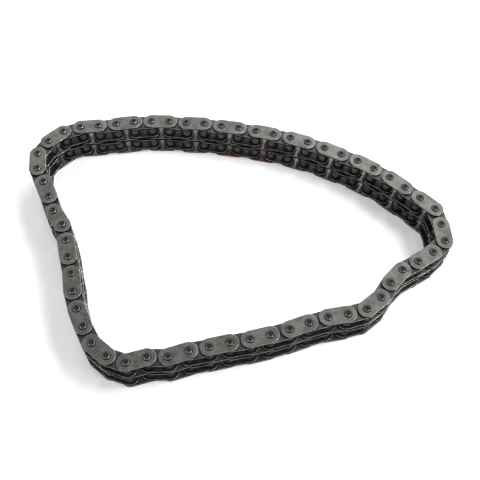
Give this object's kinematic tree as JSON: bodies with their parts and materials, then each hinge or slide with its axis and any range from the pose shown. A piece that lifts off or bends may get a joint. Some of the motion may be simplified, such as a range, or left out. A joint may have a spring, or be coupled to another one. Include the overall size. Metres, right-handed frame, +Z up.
{
  "type": "double roller timing chain",
  "caption": "Endless double roller chain lying on its side in a slack loop, with plates, pins and rollers in two rows and a marked stretch.",
  "frame": {"origin": "middle of the loop's outline as it lies, on the plane that the lower pin ends stand on", "axes": "+Z up along every pin; +X along the loop's longest side; +Y across it, away from the near run"},
  "size_m": [0.2182, 0.1472, 0.0224],
  "materials": {
    "plate_steel": "matt blued steel with bright worn edges",
    "dark_steel": "dark oiled steel, rubbed bright on the rollers",
    "marking_paint": "thin matt red-orange marking paint on steel"
  },
  "bodies": {
    "outer_link_01": {"outer_link_01": "plate_steel"},
    "inner_link_01": {"inner_link_01": "dark_steel"},
    "outer_link_02": {"outer_link_02": "plate_steel"},
    "inner_link_02": {"inner_link_02": "dark_steel"},
    "outer_link_03": {"outer_link_03": "plate_steel"},
    "inner_link_03": {"inner_link_03": "dark_steel"},
    "outer_link_04": {"outer_link_04": "plate_steel"},
    "inner_link_04": {"inner_link_04": "dark_steel"},
    "outer_link_05": {"outer_link_05": "plate_steel"},
    "inner_link_05": {"inner_link_05": "dark_steel"},
    "outer_link_06": {"outer_link_06": "plate_steel"},
    "inner_link_06": {"inner_link_06": "dark_steel"},
    "outer_link_07": {"outer_link_07": "plate_steel", "painted_plate_07": "marking_paint"},
    "inner_link_07": {"inner_link_07": "dark_steel"},
    "outer_link_08": {"outer_link_08": "plate_steel", "painted_plate_08": "marking_paint"},
    "inner_link_08": {"inner_link_08": "dark_steel"},
    "outer_link_09": {"outer_link_09": "plate_steel"},
    "inner_link_09": {"inner_link_09": "dark_steel"},
    "outer_link_10": {"outer_link_10": "plate_steel"},
    "inner_link_10": {"inner_link_10": "dark_steel"},
    "outer_link_11": {"outer_link_11": "plate_steel"},
    "inner_link_11": {"inner_link_11": "dark_steel"},
    "outer_link_12": {"outer_link_12": "plate_steel"},
    "inner_link_12": {"inner_link_12": "dark_steel"},
    "outer_link_13": {"outer_link_13": "plate_steel"},
    "inner_link_13": {"inner_link_13": "dark_steel"},
    "outer_link_14": {"outer_link_14": "plate_steel"},
    "inner_link_14": {"inner_link_14": "dark_steel"},
    "outer_link_15": {"outer_link_15": "plate_steel"},
    "inner_link_15": {"inner_link_15": "dark_steel"},
    "outer_link_16": {"outer_link_16": "plate_steel"},
    "inner_link_16": {"inner_link_16": "dark_steel"},
    "outer_link_17": {"outer_link_17": "plate_steel"},
    "inner_link_17": {"inner_link_17": "dark_steel"},
    "outer_link_18": {"outer_link_18": "plate_steel"},
    "inner_link_18": {"inner_link_18": "dark_steel"},
    "outer_link_19": {"outer_link_19": "plate_steel"},
    "inner_link_19": {"inner_link_19": "dark_steel"},
    "outer_link_20": {"outer_link_20": "plate_steel"},
    "inner_link_20": {"inner_link_20": "dark_steel"},
    "outer_link_21": {"outer_link_21": "plate_steel"},
    "inner_link_21": {"inner_link_21": "dark_steel"},
    "outer_link_22": {"outer_link_22": "plate_steel"},
    "inner_link_22": {"inner_link_22": "dark_steel"},
    "outer_link_23": {"outer_link_23": "plate_steel"},
    "inner_link_23": {"inner_link_23": "dark_steel"},
    "outer_link_24": {"outer_link_24": "plate_steel"},
    "inner_link_24": {"inner_link_24": "dark_steel"},
    "outer_link_25": {"outer_link_25": "plate_steel"},
    "inner_link_25": {"inner_link_25": "dark_steel"},
    "outer_link_26": {"outer_link_26": "plate_steel"},
    "inner_link_26": {"inner_link_26": "dark_steel"},
    "outer_link_27": {"outer_link_27": "plate_steel"},
    "inner_link_27": {"inner_link_27": "dark_steel"},
    "outer_link_28": {"outer_link_28": "plate_steel"},
    "inner_link_28": {"inner_link_28": "dark_steel"},
    "outer_link_29": {"outer_link_29": "plate_steel"},
    "inner_link_29": {"inner_link_29": "dark_steel"}
  },
  "joints": [
    {"name": "loop_flex", "type": "hinge", "parent": "inner_link_20", "child": "outer_link_21", "pos_m": [0.00048, -0.05788, 0.01119], "axis": [0, 0, 1], "range_deg": [-3.5, 3.5]},
    {"name": "pivot_42", "type": "hinge", "parent": "outer_link_21", "child": "inner_link_21", "pos_m": [-0.00871, -0.06041, 0.01119], "axis": [0, 0, 1], "range_deg": [-3.45, 3.45]},
    {"name": "pivot_43", "type": "hinge", "parent": "inner_link_21", "child": "outer_link_22", "pos_m": [-0.01797, -0.06261, 0.01119], "axis": [0, 0, 1], "range_deg": [-3.69, 3.69]},
    {"name": "pivot_44", "type": "hinge", "parent": "outer_link_22", "child": "inner_link_22", "pos_m": [-0.0269, -0.06594, 0.01119], "axis": [0, 0, 1], "range_deg": [-4.24, 4.24]},
    {"name": "pivot_45", "type": "hinge", "parent": "inner_link_22", "child": "outer_link_23", "pos_m": [-0.03641, -0.06649, 0.01119], "axis": [0, 0, 1], "range_deg": [-5.08, 5.08]},
    {"name": "pivot_46", "type": "hinge", "parent": "outer_link_23", "child": "inner_link_23", "pos_m": [-0.04544, -0.0695, 0.01119], "axis": [0, 0, 1], "range_deg": [-6.63, 6.63]},
    {"name": "pivot_47", "type": "hinge", "parent": "inner_link_23", "child": "outer_link_24", "pos_m": [-0.05456, -0.06675, 0.01119], "axis": [0, 0, 1], "range_deg": [-4.12, 4.12]},
    {"name": "pivot_48", "type": "hinge", "parent": "outer_link_24", "child": "inner_link_24", "pos_m": [-0.06209, -0.06092, 0.01119], "axis": [0, 0, 1], "range_deg": [-4.93, 4.93]},
    {"name": "pivot_49", "type": "hinge", "parent": "inner_link_24", "child": "outer_link_25", "pos_m": [-0.06704, -0.05278, 0.01119], "axis": [0, 0, 1], "range_deg": [-5.54, 5.54]},
    {"name": "pivot_50", "type": "hinge", "parent": "outer_link_25", "child": "inner_link_25", "pos_m": [-0.07126, -0.04424, 0.01119], "axis": [0, 0, 1], "range_deg": [-5.48, 5.48]},
    {"name": "pivot_51", "type": "hinge", "parent": "inner_link_25", "child": "outer_link_26", "pos_m": [-0.07457, -0.03531, 0.01119], "axis": [0, 0, 1], "range_deg": [-5.1, 5.1]},
    {"name": "pivot_52", "type": "hinge", "parent": "outer_link_26", "child": "inner_link_26", "pos_m": [-0.07661, -0.026, 0.01119], "axis": [0, 0, 1], "range_deg": [-4.64, 4.64]},
    {"name": "pivot_53", "type": "hinge", "parent": "inner_link_26", "child": "outer_link_27", "pos_m": [-0.07945, -0.01691, 0.01119], "axis": [0, 0, 1], "range_deg": [-4.31, 4.31]},
    {"name": "pivot_54", "type": "hinge", "parent": "outer_link_27", "child": "inner_link_27", "pos_m": [-0.08198, -0.00773, 0.01119], "axis": [0, 0, 1], "range_deg": [-4.16, 4.16]},
    {"name": "pivot_55", "type": "hinge", "parent": "inner_link_27", "child": "outer_link_28", "pos_m": [-0.08529, 0.0012, 0.01119], "axis": [0, 0, 1], "range_deg": [-4.29, 4.29]},
    {"name": "pivot_56", "type": "hinge", "parent": "outer_link_28", "child": "inner_link_28", "pos_m": [-0.09092, 0.00888, 0.01119], "axis": [0, 0, 1], "range_deg": [-4.83, 4.83]},
    {"name": "pivot_57", "type": "hinge", "parent": "inner_link_28", "child": "outer_link_29", "pos_m": [-0.09469, 0.01763, 0.01119], "axis": [0, 0, 1], "range_deg": [-5.32, 5.32]},
    {"name": "pivot_58", "type": "hinge", "parent": "outer_link_29", "child": "inner_link_29", "pos_m": [-0.09876, 0.02624, 0.01119], "axis": [0, 0, 1], "range_deg": [-5.73, 5.73]},
    {"name": "pivot_01", "type": "hinge", "parent": "inner_link_29", "child": "outer_link_01", "pos_m": [-0.10342, 0.03455, 0.01119], "axis": [0, 0, 1], "range_deg": [-5.62, 5.62]},
    {"name": "pivot_02", "type": "hinge", "parent": "outer_link_01", "child": "inner_link_01", "pos_m": [-0.10482, 0.04397, 0.01119], "axis": [0, 0, 1], "range_deg": [-4.75, 4.75]},
    {"name": "pivot_03", "type": "hinge", "parent": "inner_link_01", "child": "outer_link_02", "pos_m": [-0.10061, 0.05251, 0.01119], "axis": [0, 0, 1], "range_deg": [-4.35, 4.35]},
    {"name": "pivot_04", "type": "hinge", "parent": "outer_link_02", "child": "inner_link_02", "pos_m": [-0.09386, 0.05924, 0.01119], "axis": [0, 0, 1], "range_deg": [-5.45, 5.45]},
    {"name": "pivot_05", "type": "hinge", "parent": "inner_link_02", "child": "outer_link_03", "pos_m": [-0.0851, 0.06298, 0.01119], "axis": [0, 0, 1], "range_deg": [-4.11, 4.11]},
    {"name": "pivot_06", "type": "hinge", "parent": "outer_link_03", "child": "inner_link_03", "pos_m": [-0.07568, 0.06435, 0.01119], "axis": [0, 0, 1], "range_deg": [-3.18, 3.18]},
    {"name": "pivot_07", "type": "hinge", "parent": "inner_link_03", "child": "outer_link_04", "pos_m": [-0.06631, 0.06605, 0.01119], "axis": [0, 0, 1], "range_deg": [-2.82, 2.82]},
    {"name": "pivot_08", "type": "hinge", "parent": "outer_link_04", "child": "inner_link_04", "pos_m": [-0.05696, 0.0679, 0.01119], "axis": [0, 0, 1], "range_deg": [-2.85, 2.85]},
    {"name": "pivot_09", "type": "hinge", "parent": "inner_link_04", "child": "outer_link_05", "pos_m": [-0.04749, 0.06894, 0.01119], "axis": [0, 0, 1], "range_deg": [-3.19, 3.19]},
    {"name": "pivot_10", "type": "hinge", "parent": "outer_link_05", "child": "inner_link_05", "pos_m": [-0.03798, 0.06932, 0.01119], "axis": [0, 0, 1], "range_deg": [-3.82, 3.82]},
    {"name": "pivot_40", "type": "hinge", "parent": "inner_link_20", "child": "outer_link_20", "pos_m": [0.00978, -0.05584, 0.01119], "axis": [0, 0, 1], "range_deg": [-3.78, 3.78]},
    {"name": "pivot_39", "type": "hinge", "parent": "outer_link_20", "child": "inner_link_19", "pos_m": [0.01892, -0.05315, 0.01119], "axis": [0, 0, 1], "range_deg": [-4.32, 4.32]},
    {"name": "pivot_38", "type": "hinge", "parent": "inner_link_19", "child": "outer_link_19", "pos_m": [0.0279, -0.04998, 0.01119], "axis": [0, 0, 1], "range_deg": [-5.05, 5.05]},
    {"name": "pivot_37", "type": "hinge", "parent": "outer_link_19", "child": "inner_link_18", "pos_m": [0.0367, -0.04634, 0.01119], "axis": [0, 0, 1], "range_deg": [-5.87, 5.87]},
    {"name": "pivot_36", "type": "hinge", "parent": "inner_link_18", "child": "outer_link_18", "pos_m": [0.04568, -0.04317, 0.01119], "axis": [0, 0, 1], "range_deg": [-6.66, 6.66]},
    {"name": "pivot_35", "type": "hinge", "parent": "outer_link_18", "child": "inner_link_17", "pos_m": [0.05499, -0.04113, 0.01119], "axis": [0, 0, 1], "range_deg": [-7.19, 7.19]},
    {"name": "pivot_34", "type": "hinge", "parent": "inner_link_17", "child": "outer_link_17", "pos_m": [0.06403, -0.03812, 0.01119], "axis": [0, 0, 1], "range_deg": [-7, 7]},
    {"name": "pivot_33", "type": "hinge", "parent": "outer_link_17", "child": "inner_link_16", "pos_m": [0.07114, -0.03179, 0.01119], "axis": [0, 0, 1], "range_deg": [-6.46, 6.46]},
    {"name": "pivot_32", "type": "hinge", "parent": "inner_link_16", "child": "outer_link_16", "pos_m": [0.07608, -0.02364, 0.01119], "axis": [0, 0, 1], "range_deg": [-3.66, 3.66]},
    {"name": "pivot_31", "type": "hinge", "parent": "outer_link_16", "child": "inner_link_15", "pos_m": [0.08237, -0.01649, 0.01119], "axis": [0, 0, 1], "range_deg": [-4.01, 4.01]},
    {"name": "pivot_30", "type": "hinge", "parent": "inner_link_15", "child": "outer_link_15", "pos_m": [0.09039, -0.01136, 0.01119], "axis": [0, 0, 1], "range_deg": [-4.71, 4.71]},
    {"name": "pivot_29", "type": "hinge", "parent": "outer_link_15", "child": "inner_link_14", "pos_m": [0.09824, -0.00596, 0.01119], "axis": [0, 0, 1], "range_deg": [-4.92, 4.92]},
    {"name": "pivot_28", "type": "hinge", "parent": "inner_link_14", "child": "outer_link_14", "pos_m": [0.10477, 0.00097, 0.01119], "axis": [0, 0, 1], "range_deg": [-4.81, 4.81]},
    {"name": "pivot_27", "type": "hinge", "parent": "outer_link_14", "child": "inner_link_13", "pos_m": [0.10392, 0.01045, 0.01119], "axis": [0, 0, 1], "range_deg": [-5.08, 5.08]},
    {"name": "pivot_26", "type": "hinge", "parent": "inner_link_13", "child": "outer_link_13", "pos_m": [0.10174, 0.01973, 0.01119], "axis": [0, 0, 1], "range_deg": [-5.4, 5.4]},
    {"name": "pivot_25", "type": "hinge", "parent": "outer_link_13", "child": "inner_link_12", "pos_m": [0.09462, 0.02605, 0.01119], "axis": [0, 0, 1], "range_deg": [-6, 6]},
    {"name": "pivot_24", "type": "hinge", "parent": "inner_link_12", "child": "outer_link_12", "pos_m": [0.08729, 0.03213, 0.01119], "axis": [0, 0, 1], "range_deg": [-6.29, 6.29]},
    {"name": "pivot_23", "type": "hinge", "parent": "outer_link_12", "child": "inner_link_11", "pos_m": [0.07995, 0.0382, 0.01119], "axis": [0, 0, 1], "range_deg": [-6.19, 6.19]},
    {"name": "pivot_22", "type": "hinge", "parent": "inner_link_11", "child": "outer_link_11", "pos_m": [0.07193, 0.04334, 0.01119], "axis": [0, 0, 1], "range_deg": [-5.85, 5.85]},
    {"name": "pivot_21", "type": "hinge", "parent": "outer_link_11", "child": "inner_link_10", "pos_m": [0.06365, 0.04804, 0.01119], "axis": [0, 0, 1], "range_deg": [-5.4, 5.4]},
    {"name": "pivot_20", "type": "hinge", "parent": "inner_link_10", "child": "outer_link_10", "pos_m": [0.05492, 0.05186, 0.01119], "axis": [0, 0, 1], "range_deg": [-4.99, 4.99]},
    {"name": "pivot_19", "type": "hinge", "parent": "outer_link_10", "child": "inner_link_09", "pos_m": [0.04619, 0.05568, 0.01119], "axis": [0, 0, 1], "range_deg": [-4.93, 4.93]},
    {"name": "pivot_18", "type": "hinge", "parent": "inner_link_09", "child": "outer_link_09", "pos_m": [0.03722, 0.05887, 0.01119], "axis": [0, 0, 1], "range_deg": [-5.25, 5.25]},
    {"name": "pivot_17", "type": "hinge", "parent": "outer_link_09", "child": "inner_link_08", "pos_m": [0.02809, 0.0616, 0.01119], "axis": [0, 0, 1], "range_deg": [-5.62, 5.62]},
    {"name": "pivot_16", "type": "hinge", "parent": "inner_link_08", "child": "outer_link_08", "pos_m": [0.0188, 0.06369, 0.01119], "axis": [0, 0, 1], "range_deg": [-6.25, 6.25]},
    {"name": "pivot_15", "type": "hinge", "parent": "outer_link_08", "child": "inner_link_07", "pos_m": [0.00941, 0.06528, 0.01119], "axis": [0, 0, 1], "range_deg": [-6.7, 6.7]},
    {"name": "pivot_14", "type": "hinge", "parent": "inner_link_07", "child": "outer_link_07", "pos_m": [-0.00001, 0.06672, 0.01119], "axis": [0, 0, 1], "range_deg": [-6.74, 6.74]},
    {"name": "pivot_13", "type": "hinge", "parent": "outer_link_07", "child": "inner_link_06", "pos_m": [-0.00949, 0.06766, 0.01119], "axis": [0, 0, 1], "range_deg": [-6.31, 6.31]},
    {"name": "pivot_12", "type": "hinge", "parent": "inner_link_06", "child": "outer_link_06", "pos_m": [-0.01895, 0.06876, 0.01119], "axis": [0, 0, 1], "range_deg": [-5.55, 5.55]}
  ],
  "couplings": [
    {"joint": "pivot_42", "follows": "loop_flex", "ratio": 0.98558},
    {"joint": "pivot_43", "follows": "loop_flex", "ratio": 1.0547},
    {"joint": "pivot_44", "follows": "loop_flex", "ratio": 1.2115},
    {"joint": "pivot_45", "follows": "loop_flex", "ratio": 1.4517},
    {"joint": "pivot_46", "follows": "loop_flex", "ratio": 1.8944},
    {"joint": "pivot_47", "follows": "loop_flex", "ratio": -1.1761},
    {"joint": "pivot_48", "follows": "loop_flex", "ratio": -1.4078},
    {"joint": "pivot_49", "follows": "loop_flex", "ratio": -1.5826},
    {"joint": "pivot_50", "follows": "loop_flex", "ratio": -1.5648},
    {"joint": "pivot_51", "follows": "loop_flex", "ratio": -1.4564},
    {"joint": "pivot_52", "follows": "loop_flex", "ratio": -1.3251},
    {"joint": "pivot_53", "follows": "loop_flex", "ratio": -1.2317},
    {"joint": "pivot_54", "follows": "loop_flex", "ratio": -1.1877},
    {"joint": "pivot_55", "follows": "loop_flex", "ratio": -1.2251},
    {"joint": "pivot_56", "follows": "loop_flex", "ratio": -1.3813},
    {"joint": "pivot_57", "follows": "loop_flex", "ratio": -1.521},
    {"joint": "pivot_58", "follows": "loop_flex", "ratio": -1.636},
    {"joint": "pivot_01", "follows": "loop_flex", "ratio": -1.6047},
    {"joint": "pivot_02", "follows": "loop_flex", "ratio": -1.3571},
    {"joint": "pivot_03", "follows": "loop_flex", "ratio": -1.2427},
    {"joint": "pivot_04", "follows": "loop_flex", "ratio": 1.5562},
    {"joint": "pivot_05", "follows": "loop_flex", "ratio": 1.1737},
    {"joint": "pivot_06", "follows": "loop_flex", "ratio": 0.90941},
    {"joint": "pivot_07", "follows": "loop_flex", "ratio": 0.8063},
    {"joint": "pivot_08", "follows": "loop_flex", "ratio": 0.81315},
    {"joint": "pivot_09", "follows": "loop_flex", "ratio": 0.91151},
    {"joint": "pivot_10", "follows": "loop_flex", "ratio": 1.0901},
    {"joint": "pivot_40", "follows": "loop_flex", "ratio": -1.0799},
    {"joint": "pivot_39", "follows": "loop_flex", "ratio": -1.2333},
    {"joint": "pivot_38", "follows": "loop_flex", "ratio": -1.4427},
    {"joint": "pivot_37", "follows": "loop_flex", "ratio": -1.6782},
    {"joint": "pivot_36", "follows": "loop_flex", "ratio": -1.9033},
    {"joint": "pivot_35", "follows": "loop_flex", "ratio": -2.0537},
    {"joint": "pivot_34", "follows": "loop_flex", "ratio": -1.999},
    {"joint": "pivot_33", "follows": "loop_flex", "ratio": -1.8466},
    {"joint": "pivot_32", "follows": "loop_flex", "ratio": 1.045},
    {"joint": "pivot_31", "follows": "loop_flex", "ratio": 1.1468},
    {"joint": "pivot_30", "follows": "loop_flex", "ratio": 1.347},
    {"joint": "pivot_29", "follows": "loop_flex", "ratio": 1.4069},
    {"joint": "pivot_28", "follows": "loop_flex", "ratio": 1.3747},
    {"joint": "pivot_27", "follows": "loop_flex", "ratio": 1.4503},
    {"joint": "pivot_26", "follows": "loop_flex", "ratio": 1.5439},
    {"joint": "pivot_25", "follows": "loop_flex", "ratio": 1.7152},
    {"joint": "pivot_24", "follows": "loop_flex", "ratio": 1.7984},
    {"joint": "pivot_23", "follows": "loop_flex", "ratio": 1.7694},
    {"joint": "pivot_22", "follows": "loop_flex", "ratio": 1.6701},
    {"joint": "pivot_21", "follows": "loop_flex", "ratio": 1.5415},
    {"joint": "pivot_20", "follows": "loop_flex", "ratio": 1.4247},
    {"joint": "pivot_19", "follows": "loop_flex", "ratio": 1.4083},
    {"joint": "pivot_18", "follows": "loop_flex", "ratio": -1.4991},
    {"joint": "pivot_17", "follows": "loop_flex", "ratio": -1.6057},
    {"joint": "pivot_16", "follows": "loop_flex", "ratio": -1.7846},
    {"joint": "pivot_15", "follows": "loop_flex", "ratio": -1.9142},
    {"joint": "pivot_14", "follows": "loop_flex", "ratio": -1.9265},
    {"joint": "pivot_13", "follows": "loop_flex", "ratio": -1.8025},
    {"joint": "pivot_12", "follows": "loop_flex", "ratio": -1.5856}
  ]
}
